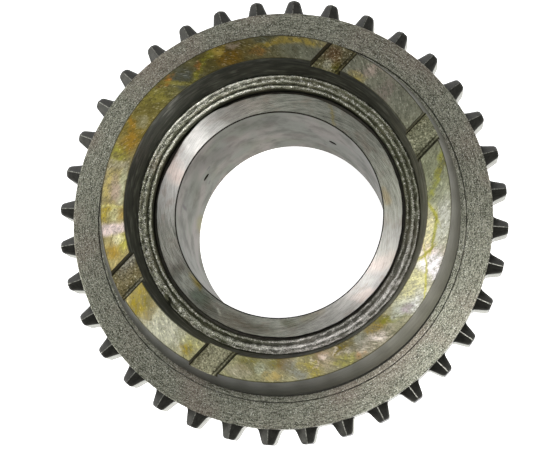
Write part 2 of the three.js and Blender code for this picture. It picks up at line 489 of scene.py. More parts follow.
# Stains, and patches of painted light and shade, are (angle, width, radius, height, tone, strength), with
# a slant as a seventh value where there is one. The soft oval node group gives the units.
FACE_STAINS = (
    (-146, 6, 46, 12, OCHRE, 0.75, 0.6), (-143.5, 4, 44.2, 2.4, OLIVE, 0.8),
    (-140, 4.5, 45.8, 5.5, AMBER, 0.7, 0.3), (-144, 5, 47.6, 3, OCHRE, 0.6), (-130, 14, 46, 9, PALE, 0.5),
    (-121.5, 5, 46.8, 4, OCHRE, 0.95), (-121, 2, 46.2, 1.6, OLIVE, 0.7),
    (-121, 6, 44.4, 3, (190, 188, 120), 0.5), (-99, 8, 44.6, 4, OLIVE, 0.8),
    (-102, 7, 47, 4, (172, 164, 146), 0.6), (-95, 5, 45.4, 3, (170, 176, 156), 0.7, 0.5),
    (-90, 7, 43.8, 3, OLIVE, 0.8), (-86, 5, 44.4, 4, (118, 92, 38), 0.85),
    (-90, 5, 47.8, 2.8, (170, 148, 84), 0.7), (-82, 6, 46.8, 6, (132, 134, 126), 0.9, 0.8),
    (-77, 6, 46.4, 9, (146, 134, 54), 0.85, 0.3), (-73, 5, 44, 4, (116, 92, 70), 0.8),
    (-70, 7, 45.6, 5, (160, 146, 122), 0.7), (-64.5, 8, 44, 4.4, (98, 84, 22), 1),
    (-66, 6, 47.6, 3, (136, 132, 66), 0.8), (-57, 8, 44.6, 4, (112, 112, 100), 0.9),
    (-60.5, 3, 48, 2, (150, 112, 66), 0.7), (-54, 12, 47.2, 4, (148, 140, 126), 0.8, 0.5),
    (-50, 7, 44, 3.6, (112, 94, 40), 0.9), (-46, 3.5, 45, 6, (98, 96, 34), 0.9, 1.5),
    (-39, 9, 45.8, 4, (142, 146, 138), 0.7), (-35, 8, 47.6, 4, (164, 164, 160), 0.85),
    (-38.5, 3, 47, 2, (146, 128, 138), 0.7), (-30, 14, 44.2, 5, (184, 180, 132), 0.85, 0.8),
    (-21, 10, 47.2, 6, (208, 202, 208), 0.95, -0.5), (-21, 5, 43.8, 2.6, (206, 204, 192), 0.8),
    (-16.5, 6, 44.2, 3.6, (214, 192, 166), 0.8), (-16, 3, 47.2, 5, BLUSH, 0.6),
    (-9, 14, 44, 3.4, (204, 196, 150), 0.85), (-5, 16, 47.6, 4.4, (176, 176, 166), 0.8),
    (4, 8, 45.4, 7, (142, 146, 118), 0.6), (9.5, 4.5, 46.2, 10, (136, 138, 62), 0.85, 2.2),
    (12.5, 3, 47.8, 3, (128, 116, 50), 0.6, 1.5), (13, 8, 44.2, 4, (118, 122, 98), 0.6),
    (39, 12, 46.4, 6, (108, 110, 97), 0.5), (46, 4, 45.4, 7, (126, 114, 106), 0.6, 0.3),
    (54.5, 5, 46.8, 5, (158, 144, 132), 0.8, -1), (57.5, 5, 43.4, 2.6, (158, 144, 80), 0.8),
    (80, 16, 45, 6, (104, 106, 90), 0.8), (92, 9, 48.3, 2.4, (66, 72, 62), 0.8),
    (81, 16, 48.2, 2, (142, 126, 60), 0.9, -3), (92, 12, 46.7, 1.5, (128, 112, 50), 0.9, -3.5),
    (96, 5, 45.1, 2.4, (130, 96, 48), 0.9), (101, 7, 45.6, 6, (84, 74, 40), 0.7),
    (107, 10, 45.2, 5.5, RUST, 0.95, 0.5), (110, 7, 47.8, 2.6, (134, 118, 56), 0.8),
    (104, 3.5, 48.2, 2, (128, 116, 104), 0.6), (114, 5, 45.6, 7, (72, 66, 34), 0.8),
    (119, 4, 45, 7, (108, 104, 38), 0.9, -1.8), (118, 2.4, 46.5, 1.8, (120, 74, 36), 0.7),
    (125, 7, 45.8, 6.5, (66, 68, 62), 0.95), (130, 4.5, 48.2, 2.2, (136, 92, 38), 0.95),
    (136, 9, 46.6, 6, (112, 106, 46), 0.7, 0.8), (142, 8, 45.6, 6, (90, 84, 42), 0.7, 0.6),
    (147, 4, 45, 3.6, (120, 117, 92), 0.7), (150, 3.5, 47.4, 4, (128, 98, 34), 0.85, -1.8),
    (155, 8, 45, 5, (122, 94, 32), 0.9, 0.7), (160.5, 7, 47, 4.6, (130, 128, 52), 0.85),
    (164.5, 3.5, 46.6, 6, (142, 136, 116), 0.7), (168, 4, 46, 4.6, (158, 146, 88), 0.7),
    (172, 14, 43.8, 2.4, (168, 172, 142), 0.7), (174, 10, 45.8, 3.4, (160, 143, 126), 0.9),
    (174, 10, 48, 2, (174, 158, 92), 0.7), (181, 5.5, 47.2, 4.4, (168, 150, 48), 0.9),
    (182, 5, 43.6, 2, (160, 128, 40), 0.8), (182.5, 5, 45.2, 3, (186, 186, 148), 0.7),
    (192, 7, 44, 3.4, (186, 182, 76), 0.8), (191, 4, 45.6, 3, (216, 210, 172), 0.8, 0.5),
    (195, 6, 47.2, 4, (164, 134, 50), 0.85), (-72, 2.2, 44.8, 2, (206, 190, 178), 0.6, 0.5),
    (-67.5, 1.8, 43.9, 1.8, (206, 196, 182), 0.6, -0.5), (-75, 1.4, 46, 2, (200, 186, 172), 0.6),
    (-77, 1.8, 44, 1.4, (206, 198, 184), 0.6, 0.5), (-64, 4, 45.6, 1.6, (200, 194, 184), 0.5, 0.3),
    (-52, 5, 46.6, 2.2, (208, 196, 188), 0.5, 0.4), (-21, 6, 47, 4.4, (222, 218, 214), 0.45, 0.5),
)
# Thin run marks of dried oil on the end face, and one wiped strip
FACE_RUNS = (
    (-18.5, 2, 44.3, 3.6, (160, 154, 56), 0.8, 2), (-11, 15, 45.3, 0.75, (148, 147, 60), 0.85),
    (-3.4, 2.2, 44.5, 3.4, (156, 154, 50), 0.8, -2), (-25, 1.8, 46.4, 7, (166, 162, 66), 0.8, -2.8),
    (-134, 1.4, 46, 6, (222, 218, 196), 0.5, -2), (-128, 1.4, 45.5, 5, (222, 218, 196), 0.4, 2),
    (128, 2, 45.8, 7, (116, 110, 54), 0.8, 1.3), (187.2, 3.4, 46, 30, (216, 199, 192), 1),
    (179.2, 0.8, 46, 20, (190, 184, 120), 0.6),
)
# The oil grooves' floors and walls
SLOT_STAINS = (
    (24.5, 14, 46, 20, (128, 129, 106), 0.9), (66.5, 5, 44.8, 5, (98, 94, 36), 0.9, 0.5),
    (69, 6, 47, 5, (100, 80, 58), 0.9), (70, 3, 44, 2.8, (154, 152, 130), 0.8),
    (64.5, 4, 46.5, 12, (96, 90, 68), 0.8, 0.4), (-159.5, 6, 44.8, 6, (190, 188, 174), 0.85, 1),
    (-155, 8, 46.6, 16, (116, 106, 74), 0.85, 0.4), (-149.5, 4, 45.5, 16, (134, 134, 120), 0.9, 0.5),
    (-112, 12, 46, 20, (150, 148, 122), 0.8),
)
SLOT_WALL_STAINS = (
    (28, 24, 46, 40, (124, 122, 98), 0.9),
)
# Stains, and painted light: the blush entries and the broad pale ones at 12, 138 and -20 degrees are
# painted highlight, and the broad grey one at -66 degrees is painted shade
FLANGE_STAINS_AND_PAINTED_LIGHT = (
    (8, 9, 31.4, 2.2, (156, 122, 30), 0.9), (61, 3, 32.6, 4.4, OCHRE, 0.4, 1.6),
    (-142, 10, 30.9, 1.7, OCHRE, 0.8), (-134, 12, 33, 4, (84, 100, 82), 0.6),
    (-75, 8, 31.2, 2.4, OLIVE, 0.5), (-68, 6, 30.8, 1.6, AMBER, 0.35), (-45, 7, 34, 4, BLUSH, 0.6, 2),
    (-26, 10, 33, 7, BLUSH, 0.65, 1.5), (157, 9, 33, 9, BLUSH, 0.7, -0.8),
    (-113, 15, 33.4, 4.6, (100, 88, 70), 0.5), (106, 20, 33, 4.6, (146, 136, 127), 0.5),
    (-122, 3, 32.8, 1.4, PALE, 0.6, 2), (-160, 16, 33, 6, (112, 100, 100), 0.35),
    (150, 10, 35.4, 1.4, (92, 76, 66), 0.7), (-152, 7, 33.4, 4, (84, 84, 70), 0.3, 1),
    (-126, 10, 34.2, 3, (78, 76, 62), 0.5), (-100, 14, 33.8, 3, (92, 88, 74), 0.6),
    (-144, 9, 33.2, 5, (186, 188, 176), 0.6), (-84, 9, 32, 2.6, (100, 104, 78), 0.6, 1.5),
    (-162, 14, 33.6, 8, (192, 192, 180), 0.5), (-66, 32, 33.2, 9, (122, 120, 115), 0.65),
    (12, 36, 33.2, 9, (182, 183, 168), 0.55), (138, 12, 33.4, 8, (198, 196, 192), 0.75),
    (116, 14, 33.4, 8, (118, 116, 110), 0.6, 1), (-20, 14, 33.2, 9, (184, 184, 172), 0.3),
)
# Stretches of the weld: the pale entries are painted highlight, and at 124 degrees painted glints along
# the outer and inner crests; the grey ones at 26 and 200 degrees dull the crests' painted highlight; the
# one at 157 degrees is a brown stain
WELD_STAINS_AND_PAINTED_LIGHT = (
    (-54, 74, 39.3, 8, (254, 248, 244), 1), (-74, 20, 39.4, 5, (250, 244, 236), 0.6),
    (112, 60, 38.2, 10, (232, 232, 216), 0.15), (157, 8, 39, 3, (120, 96, 84), 0.5),
    (26, 100, 38.6, 14, (82, 84, 68), 0.75), (200, 90, 38.6, 14, (84, 85, 70), 0.6),
    (124, 50, 40.3, 1.6, (255, 255, 244), 0.5), (124, 46, 37.4, 1.5, (255, 255, 244), 0.25),
)
# Lighter stretches of the counterbore wall, round -14 and -110 degrees
COUNTERBORE_TONES = (
    (-14, 80, 41.5, 40, (128, 126, 108), 0.85), (-110, 40, 41.5, 40, (112, 110, 90), 0.5),
)
# Painted light and shade on the cone: lighter round -22 degrees, darker round -125 degrees
CONE_PAINTED_LIGHT_AND_SHADE = (
    (-22, 90, 51, 60, (106, 104, 94), 0.9), (-125, 110, 51, 60, (50, 50, 43), 0.85),
)
# Marks on the bore: the third number is the mark's height above the rear face, and the fourth its
# length along the axis
BORE_STAINS = (
    (171, 9, 3, 12, (104, 99, 48), 0.9), (171, 2, 34, 7, (40, 24, 18), 1),
    (195, 1.8, 14, 8, (60, 28, 24), 1), (200, 1.8, 10, 8, (60, 28, 24), 1),
    (122, 7, 34, 9, (66, 40, 26), 0.5, 0.5), (136, 18, 30, 20, (50, 46, 34), 0.6, 1),
    (158, 12, 26, 26, (62, 66, 42), 0.6, -0.6), (108, 14, 38, 16, (60, 62, 40), 0.6, 0.6),
)


# Surfaces

def ring_face_steel():
    g = Graph("turned_ring_face")
    lines = g.noise(g.around(3.0, 0.45), detail=3, roughness=0.6)
    grain = g.noise(g.around(2.2, 1.6), scale=1.5, detail=3, roughness=0.75)
    mixed = g.madd(lines, 0.35, g.times(grain, 0.65))
    broad = g.noise(g.place, scale=0.05, detail=3, low=0.42, high=0.66)
    sparkle = g.noise(g.around(2.8, 2.0), scale=1.6, detail=1, low=0.6, high=0.72)
    pits = g.noise(g.around(2.6, 1.7), scale=1.7, detail=2, low=0.44, high=0.32)
    g.base(g.between(mixed, 0.4, 0.6), (70, 72, 60), (164, 164, 148))
    g.tint(broad, (138, 119, 110), 0.4)
    g.tint(pits, (40, 40, 32), 0.8)
    g.tint(sparkle, (220, 220, 208), 0.9)
    # Painted light and shade: the face is lighter towards +X and darker towards -X, by up to a tenth
    side = g.math("DIVIDE", g.x, g.radius)
    painted_side_light = g.madd(g.times(side, g.math("ABSOLUTE", side)), 0.1, 1.0)
    g.scale(painted_side_light)
    rough = g.madd(grain, 0.25, 0.36)
    return g.finish(rough, mixed, strength=0.8, distance=0.14, anisotropic=0.6)


def dark_oxide_and_painted_shade(name, tone):
    g = Graph(name, metallic=0.6)
    cloud = g.noise(g.place, scale=0.5, detail=4, low=0.3, high=0.7)
    g.base(cloud, tone, tuple(1.35 * t for t in tone))
    fine = g.noise(g.place, scale=3, detail=3)
    return g.finish(g.madd(fine, 0.25, 0.4), fine, strength=0.3, distance=0.05)


def tooth_oxide():
    g = Graph("tooth_oxide", metallic=0.75, specular=0.3)
    lines = g.noise(g.stretched(1.2, 4), detail=3, low=0.35, high=0.65)
    cloud = g.noise(g.place, scale=0.6, detail=4, low=0.3, high=0.7)
    g.base(cloud, (32, 32, 28), (46, 45, 41))
    g.tint(lines, (62, 62, 56), 0.3)
    return g.finish(0.34, lines, strength=0.25, distance=0.04)


def counterbore_oxide():
    g = Graph("counterbore_oxide", metallic=0.6)
    streaks = g.noise(g.around(0.5, 0.08, 1.1), detail=3, low=0.35, high=0.7)
    blotch = g.noise(g.around(0.3, 0.16, 0.5), detail=4, low=0.5, high=0.72)
    g.base(streaks, (48, 49, 41), (72, 73, 64))
    g.tint(blotch, (112, 112, 101), 0.55)
    g.stains(COUNTERBORE_TONES, breakup=g.madd(streaks, 0.4, 0.6))
    bands = g.noise(g.stretched(0.16, 1.3), detail=4, roughness=0.65)
    g.scale(g.madd(g.between(bands, 0.38, 0.64), 0.8, 0.62))
    return g.finish(g.madd(blotch, -0.12, 0.48), blotch, strength=0.25, distance=0.05)


def worn_edge():
    g = Graph("worn_edge")
    fine = g.noise(g.place, scale=2, detail=3, low=0.35, high=0.65)
    g.base(fine, (84, 84, 78), (150, 150, 141))
    return g.finish(0.45, fine, strength=0.3, distance=0.05)


def cut_steel(name, stretch, tones, rough, strength, distance):
    """Steel with cutting lines round the axis, between two tones."""
    g = Graph(name)
    lines = g.noise(g.stretched(*stretch), detail=3, low=0.3, high=0.7)
    g.base(lines, *tones)
    return g.finish(rough, lines, strength, distance)


def slot_offset(g):
    """Signed distance to the middle of the nearer oil groove, positive to its upper left."""
    sine, cosine = math.sin(OIL_GROOVE_ANGLE), math.cos(OIL_GROOVE_ANGLE)
    across = g.math("ADD", g.times(g.x, -sine), g.times(g.y, cosine))
    middle = g.times(g.math("SIGN", across), OIL_GROOVE_OFFSET)
    return g.math("SUBTRACT", across, middle)


def slot_wall_oxide():
    g = Graph("slot_wall_oxide", metallic=0.7)
    speck = g.noise(g.place, scale=1.6, detail=4, roughness=0.8)
    g.base(g.between(speck, 0.35, 0.65), (40, 38, 28), (70, 66, 48))
    g.stains(SLOT_WALL_STAINS, breakup=g.between(speck, 0.3, 0.6))
    # Painted shade: the top 0.55 mm of the wall is near black
    g.tint(g.between(g.z, HEIGHT - 0.75, HEIGHT - 0.55), (24, 23, 18))
    return g.finish(0.5, speck, strength=0.6, distance=0.15)


def stained_face():
    g = Graph("stained_end_face")
    place = g.wandering(5.0, 2.0, scale=0.26, seam=FACE_SEAM)
    turn = g.madd(place[0], 1 / 360, (360 - FACE_SEAM) / 360)
    g.colour = g.ramp(turn, [((a - FACE_SEAM) / 360 + 1, tone) for a, tone in FACE_TONES])
    cloud = g.noise(g.place, scale=0.45, detail=5, roughness=0.7)
    speck = g.noise(g.place, scale=2.2, detail=3, roughness=0.7)
    streaks = g.noise(g.spiral(1.1, -0.03, 0.45), detail=4, roughness=0.7)
    brushed = g.noise(g.spiral(0.35, -0.02), detail=3, low=0.35, high=0.65)
    light = g.noise(g.spiral(0.5, -0.03, 1.6), detail=2, low=0.58, high=0.72)
    uneven = g.math("ADD", g.times(speck, 0.25), g.times(streaks, 0.4))
    uneven = g.madd(cloud, 0.35, uneven)
    breakup = g.madd(g.between(uneven, 0.4, 0.56), 0.75, 0.25)
    g.stains(FACE_STAINS, place, breakup)
    g.stains(FACE_RUNS, g.wandering(1.2, 0.6, scale=0.5, seam=FACE_SEAM))
    shade = g.madd(g.between(uneven, 0.41, 0.59), 0.5, 0.63)
    shade = g.madd(brushed, 0.12, shade)
    shade = g.madd(g.between(speck, 0.45, 0.3), -0.3, shade)
    shade = g.madd(light, 0.6, shade)
    g.scale(shade)
    g.tint(light, (232, 230, 214), 0.08)
    # Painted shade: a dark line along the face's edge beside each oil groove
    edge = g.math("SUBTRACT", g.math("ABSOLUTE", slot_offset(g)), OIL_GROOVE_WIDTH / 2)
    g.tint(g.between(edge, 0.225, 0.075), (40, 38, 28))
    outer_rim = g.between(g.radius, FACE_OUTER_RADIUS - 0.4, FACE_OUTER_RADIUS - 0.15)
    inner_rim = g.between(g.radius, FACE_INNER_RADIUS + 0.35, FACE_INNER_RADIUS + 0.15)
    rim = g.math("MAXIMUM", outer_rim, inner_rim)
    g.tint(rim, (52, 49, 36), 0.8)
    height = g.math("ADD", g.times(speck, 0.8), g.times(streaks, 0.8))
    rough = g.madd(cloud, 0.3, 0.3)
    return g.finish(rough, height, strength=0.3, distance=0.05, anisotropic=0.5)


def slot_floor():
    g = Graph("milled_slot_floor")
    speck = g.noise(g.place, scale=1.8, detail=4, roughness=0.8)
    g.colour = (*rgb(106, 102, 74), 1)
    g.stains(SLOT_STAINS, g.wandering(2.5, 1.2, scale=0.5))
    shade = g.madd(g.between(speck, 0.35, 0.65), 0.8, 0.5)
    g.scale(shade)
    g.tint(g.between(speck, 0.48, 0.34), (40, 38, 24), 0.7)
    g.tint(g.between(speck, 0.57, 0.68), (214, 210, 186), 0.8)
    # Painted shade along the walls' feet: a dark line by the upper-left wall and a wider dark band by the
    # lower-right one; and a scored line between them
    offset = slot_offset(g)
    half = OIL_GROOVE_WIDTH / 2
    ragged = g.math("ADD", offset, g.madd(speck, 0.8, -0.4))
    g.tint(g.between(offset, half - 0.375, half - 0.175), (26, 25, 19))
    scored = g.math("ABSOLUTE", g.math("ADD", ragged, 2.5))
    g.tint(g.between(scored, 0.3, 0.12), (42, 40, 28), 0.75)
    g.tint(g.between(offset, 1.075 - half, 0.825 - half), (34, 32, 24), 0.85)
    return g.finish(0.5, speck, strength=0.9, distance=0.25)


def cone_satin():
    g = Graph("ground_cone")
    lines = g.noise(g.around(0.5, 0.1, 4), detail=3)
    broad = g.noise(g.place, scale=0.06, detail=2, low=0.4, high=0.65)
    g.base(g.between(lines, 0.35, 0.65), (68, 69, 60), (86, 86, 76))
    g.tint(broad, (92, 84, 74), 0.25)
    # Painted light and shade: lighter round -22 degrees, darker round -125 degrees
    g.stains(CONE_PAINTED_LIGHT_AND_SHADE)
    blotch = g.noise(g.around(0.4, 0.25, 1.5), detail=5, roughness=0.65)
    g.scale(g.madd(g.between(blotch, 0.35, 0.65), 0.35, 0.82))
    return g.finish(0.38, lines, strength=0.25, distance=0.04, anisotropic=0.3)


def weld_metal():
    g = Graph("weld_metal", metallic=0.9)
    streak = g.noise(g.around(2.6, 0.3), detail=4, roughness=0.7)
    speck = g.noise(g.around(1.9, 1.9), scale=1.5, detail=3, roughness=0.8)
    tint = g.noise(g.place, scale=0.12, detail=3, low=0.45, high=0.65)
    # Height above the bead's mean surface
    ridge = g.madd(g.radius, BEAD_SLOPE, g.math("SUBTRACT", g.z, BEAD_SURFACE))
    grain = g.madd(streak, 0.7, g.madd(speck, 0.5, -0.6))
    crest = g.between(g.madd(grain, 1.3, ridge), -0.22, 0.22)
    # Painted highlight and shade: the crests are lighter and the hollows between the runs darker
    g.base(crest, (66, 67, 51), (147, 148, 127))
    g.tint(tint, (110, 104, 84), 0.3)
    g.tint(g.between(streak, 0.46, 0.34), (48, 47, 36), 0.55)
    glints = g.madd(g.between(speck, 0.42, 0.56), 0.4, 0.5)
    glints = g.madd(crest, glints, 0.1)
    # A brown stain, and painted highlight and glints, laid mostly on the crests
    g.stains(WELD_STAINS_AND_PAINTED_LIGHT, breakup=glints)
    spark = g.times(g.between(speck, 0.54, 0.62), g.between(ridge, -0.16, 0.06))
    g.tint(spark, (250, 248, 240))
    height = g.math("ADD", streak, g.times(speck, 0.6))
    return g.finish(g.madd(crest, -0.2, 0.5), height, strength=0.7, distance=0.22)


def flange_ground():
    g = Graph("ground_flange_face")
    arcs = g.noise(g.spiral(0.45, 0.15, 0.4), detail=5, roughness=0.65)
    lines = g.noise(g.around(2.4, 0.25), detail=4, roughness=0.65)
    cloud = g.noise(g.place, scale=0.16, detail=4)
    patch = g.noise(g.around(0.35, 0.12), detail=4, roughness=0.6)
    # Painted highlight: the face is a lighter colour round the bright azimuth and opposite it
    along = g.math("ADD", g.times(g.x, math.cos(FLANGE_HIGHLIGHT_ANGLE)), g.times(g.y, math.sin(FLANGE_HIGHLIGHT_ANGLE)))
    share = g.math("ABSOLUTE", g.math("DIVIDE", along, g.radius))
    painted_highlight = g.between(g.madd(cloud, 0.1, share), 0.72, 1.04)
    g.base(painted_highlight, (147, 148, 137), (166, 164, 160))
    g.tint(g.between(patch, 0.5, 0.66), (138, 120, 108), 0.35)
    # Stains, with painted highlight and shade among them
    g.stains(FLANGE_STAINS_AND_PAINTED_LIGHT, g.wandering(5, 1.2, scale=0.3))
    scratch = g.noise(g.spiral(0.9, 0.22, 0.5), detail=6, roughness=0.7)
    shade = g.madd(g.between(lines, 0.32, 0.68), 0.4, 0.84)
    shade = g.madd(g.between(arcs, 0.48, 0.36), -0.4, shade)
    shade = g.madd(g.between(arcs, 0.54, 0.66), 0.5, shade)
    shade = g.madd(g.between(scratch, 0.45, 0.4), -0.45, shade)
    shade = g.madd(g.between(patch, 0.48, 0.38), -0.12, shade)
    # The painted highlight also quiets the marks under it
    calm = g.madd(painted_highlight, -0.5, 1.0)
    shade = g.madd(g.math("SUBTRACT", shade, 1.0), calm, 1.0)
    g.scale(shade)
    height = g.math("ADD", arcs, g.times(lines, 0.5))
    rough = g.madd(patch, 0.3, 0.22)
    return g.finish(rough, height, strength=0.45, distance=0.05, anisotropic=0.88)


def bore_ground():
    g = Graph("ground_bore", edge_tint=0.8)
    cloud = g.noise(g.place, scale=0.09, detail=4, low=0.4, high=0.6)
    green = g.noise(g.vector("ADD", g.place, (40, 0, 0)), scale=0.12, detail=4, low=0.48, high=0.66)
    fine = g.noise(g.around(0.2, 0.15, 3), detail=3)
    pits = g.noise(g.stretched(0.5, 0.25), scale=0.8, detail=1, low=0.71, high=0.76)
    smear = g.noise(g.stretched(0.14, 0.12), detail=6, roughness=0.62, low=0.42, high=0.68)
    scratch = g.noise(g.stretched(0.3, 1.3), detail=5, roughness=0.7, low=0.58, high=0.7)
    g.base(cloud, (90, 92, 80), (110, 102, 94))
    g.tint(green, (84, 88, 62), 0.5)
    g.tint(smear, (56, 55, 44), 0.6)
    g.tint(scratch, (30, 28, 20), 0.6)
    g.tint(g.between(fine, 0.35, 0.65), (118, 116, 104), 0.16)
    g.tint(pits, (40, 34, 26), 0.8)
    g.stains(BORE_STAINS, (g.angle, g.z))
    rough = g.madd(smear, 0.08, 0.4)
    return g.finish(rough, fine, strength=0.2, distance=0.03)


def turned_steel():
    g = Graph("turned_steel")
    lines = g.noise(g.around(2.5, 0.1, 2.5), detail=3, low=0.3, high=0.7)
    g.base(lines, (108, 108, 98), (145, 145, 134))
    return g.finish(0.42, lines, strength=0.4, distance=0.06, anisotropic=0.4)


# Pieces

def dog_tooth(angle):
    """A tooth that tapers outwards, with a roof of two facets and a narrow land along its ridge. It
    starts a little way inside the ring, by bury."""
    bury = 0.9
    root_start = RING_ROOT_RADIUS - bury
    stations = [0, 0.55, 0.9, 1.1, 1.35, 1.7, 2.3, 3.2, 4.0, 4.5, 4.75, 5.0, 5.2, 5.32, 5.38, 5.4]
    length = DOG_TIP_RADIUS - root_start
    one_side = (DOG_LAND_SHARE, 0.4, 0.7, DOG_BEVEL_SHARE, 0.985, 1)
    across = [-share for share in reversed(one_side)] + [0, *one_side]
    slope = (DOG_SHOULDER_DROP - DOG_RIDGE_DROP[0]) / DOG_ROOT_HALF
    top, bottom = [], []
    for station in stations:
        t = station / length
        radius = root_start + station
        half = DOG_ROOT_HALF + (DOG_TIP_HALF - DOG_ROOT_HALF) * t
        flare = max(0.0, 1 - max(0.0, station - bury) / DOG_FLARE_LENGTH)
        half += 0.3 * flare ** 2
        to_tip = max(0.0, DOG_TIP_ROUND - (length - station)) / DOG_TIP_ROUND
        rounding = 1 - math.sqrt(max(0.0, 1 - to_tip ** 2))
        half -= 0.55 * rounding
        ridge = DOG_RIDGE_DROP[0] + (DOG_RIDGE_DROP[1] - DOG_RIDGE_DROP[0]) * t
        ridge += 0.45 * rounding
        row_top, row_bottom = [], []
        for share in across:
            side = share * half
            if abs(share) == DOG_LAND_SHARE:
                side = math.copysign(DOG_LAND_HALF, share)
            drop = ridge + slope * max(0.0, abs(side) - DOG_LAND_HALF)
            drop += 0.18 * max(0.0, abs(share) - DOG_BEVEL_SHARE) / (1 - DOG_BEVEL_SHARE)
            row_top.append((radius, side, RING_FACE - drop))
            row_bottom.append((radius, side, RING_REAR))
        top.append(row_top)
        bottom.append(row_bottom)
    verts, faces = grid_solid(top, bottom)
    c, s = math.cos(angle), math.sin(angle)
    return [(x * c - y * s, x * s + y * c, z) for x, y, z in verts], faces


def clutch_ring(surfaces):
    inner = JOINT_RADIUS + JOINT_GAP
    body = lathe(rounded([
        (JOINT_RADIUS + FIT_GAP, RING_REAR, 0.3),
        (RING_ROOT_RADIUS, RING_REAR, 0.3),
        (RING_ROOT_RADIUS, RING_FACE, RING_EDGE),
        (inner, RING_FACE, 0.12),
        (inner, RING_FACE - JOINT_DEPTH, 0),
        (JOINT_RADIUS + FIT_GAP, RING_FACE - JOINT_DEPTH, 0),
    ]))
    ring = mesh_object("clutch_ring_steel", [body])
    teeth = mesh_object("teeth", [dog_tooth(DOG_FIRST + TURN * i / DOG_TEETH) for i in range(DOG_TEETH)])
    combine(ring, teeth, "UNION")

    def choose(centre, radius, normal, outward):
        if radius > RING_ROOT_RADIUS - 0.5 and centre.z > RING_REAR + 1 and normal.z > 0.05:
            pitch = TURN / DOG_TEETH
            turn = (math.atan2(centre.y, centre.x) - DOG_FIRST + pitch / 2) % pitch - pitch / 2
            side = abs(radius * math.sin(turn))
            if radius < RING_ROOT_RADIUS + 0.02 and normal.z > 0.1:
                return "face"
            return "edge" if side < DOG_LAND_HALF + 0.02 else "oxide"
        if radius > DOG_TIP_RADIUS - 0.4 and outward > 0.8:
            return "oxide"
        if radius > RING_ROOT_RADIUS - 0.1:
            return "flank"
        if normal.z > 0.5:
            return "face"
        return "groove" if radius < JOINT_RADIUS + 0.5 else "turned"

    use = ("face", "oxide", "edge", "flank", "groove", "turned")
    finish_piece(ring, "clutch_ring", surfaces, use, choose)


def groove_cutter(offset):
    """A long block across the end face whose lower face is slightly uneven, as a milled floor is."""
    half = OIL_GROOVE_WIDTH / 2
    length, step = 110.0, 0.5
    rows = int(length / step)
    cols = 17
    top, bottom = [], []
    for i in range(rows + 1):
        along = -length / 2 + i * step
        row_top, row_bottom = [], []
        for j in range(cols):
            across = offset - half + 2 * half * j / (cols - 1)
            rough = 0.09 * noise.noise(Vector((along * 1.1, across * 1.1, offset)))
            c, s = math.cos(OIL_GROOVE_ANGLE), math.sin(OIL_GROOVE_ANGLE)
            x, y = along * c - across * s, along * s + across * c
            row_top.append((x, y, HEIGHT + 5))
            row_bottom.append((x, y, HEIGHT - OIL_GROOVE_DEPTH + rough))
        top.append(row_top)
        bottom.append(row_bottom)
    return grid_solid(top, bottom)


def cone_hub(surfaces):
    outer = JOINT_RADIUS - JOINT_GAP
    body = lathe(rounded([
        (HUB_BORE_RADIUS, RING_REAR, 0.3),
        (JOINT_RADIUS - FIT_GAP, RING_REAR, 0.3),
        (JOINT_RADIUS - FIT_GAP, RING_FACE - JOINT_DEPTH, 0),
        (outer, RING_FACE - JOINT_DEPTH, 0),
        (outer, RING_FACE, 0.12),
        (CONE_BASE_RADIUS + 0.1, RING_FACE, 0),
        (RELIEF_RADIUS, RING_FACE, 0.8),
        (RELIEF_RADIUS, RELIEF_TOP, 0.6),
        (CONE_BASE_RADIUS, HEIGHT - CONE_LENGTH, 0.15),
        (FACE_OUTER_RADIUS, HEIGHT, 0.15),
        (FACE_INNER_RADIUS, HEIGHT, 0.12),
        (COUNTERBORE_END_RADIUS, HEIGHT - COUNTERBORE_LENGTH, 0.3),
        (WELD_LEDGE_RADIUS, WELD_LEDGE, 0.3),
        (HUB_BORE_RADIUS, WELD_LEDGE, 0.15),
    ]))
    hub = mesh_object("cone_hub_steel", [body])
    for offset in (OIL_GROOVE_OFFSET, -OIL_GROOVE_OFFSET):
        combine(hub, mesh_object("cutter", [groove_cutter(offset)]), "DIFFERENCE")

    def choose(centre, radius, normal, outward):
        across = abs(centre.y * math.cos(OIL_GROOVE_ANGLE) - centre.x * math.sin(OIL_GROOVE_ANGLE))
        in_groove = abs(across - OIL_GROOVE_OFFSET) < OIL_GROOVE_WIDTH / 2 + 0.01
        if in_groove and centre.z < HEIGHT - 0.3 and centre.z > HEIGHT - OIL_GROOVE_DEPTH - 0.2:
            if normal.z > 0.7:
                return "slot"
            if abs(outward) < 0.9:
                return "slot_wall"
        if centre.z > HEIGHT - 0.4 and normal.z > 0.5:
            return "stained"
        if radius > CONE_BASE_RADIUS and centre.z < RELIEF_TOP and normal.z > 0.5:
            return "face"
        if centre.z > RELIEF_TOP and outward > 0.5:
            return "cone"
        if outward < -0.5 or centre.z > WELD_LEDGE - 0.5 and radius < FACE_INNER_RADIUS + 0.2:
            return "counterbore"
        if radius > JOINT_RADIUS - 0.5:
            return "joint"
        # The undercut under the cone's base takes a near-black painted shade
        return "relief" if centre.z > RING_FACE - 1 else "turned"

    use = ("stained", "slot", "slot_wall", "cone", "counterbore", "relief", "joint", "face", "turned")
    finish_piece(hub, "cone_hub", surfaces, use, choose)


def crest_height(share, at, width):
    """A rounded ridge along the bead, 1 at its top."""
    return math.exp(-((share - at) / width) ** 2)


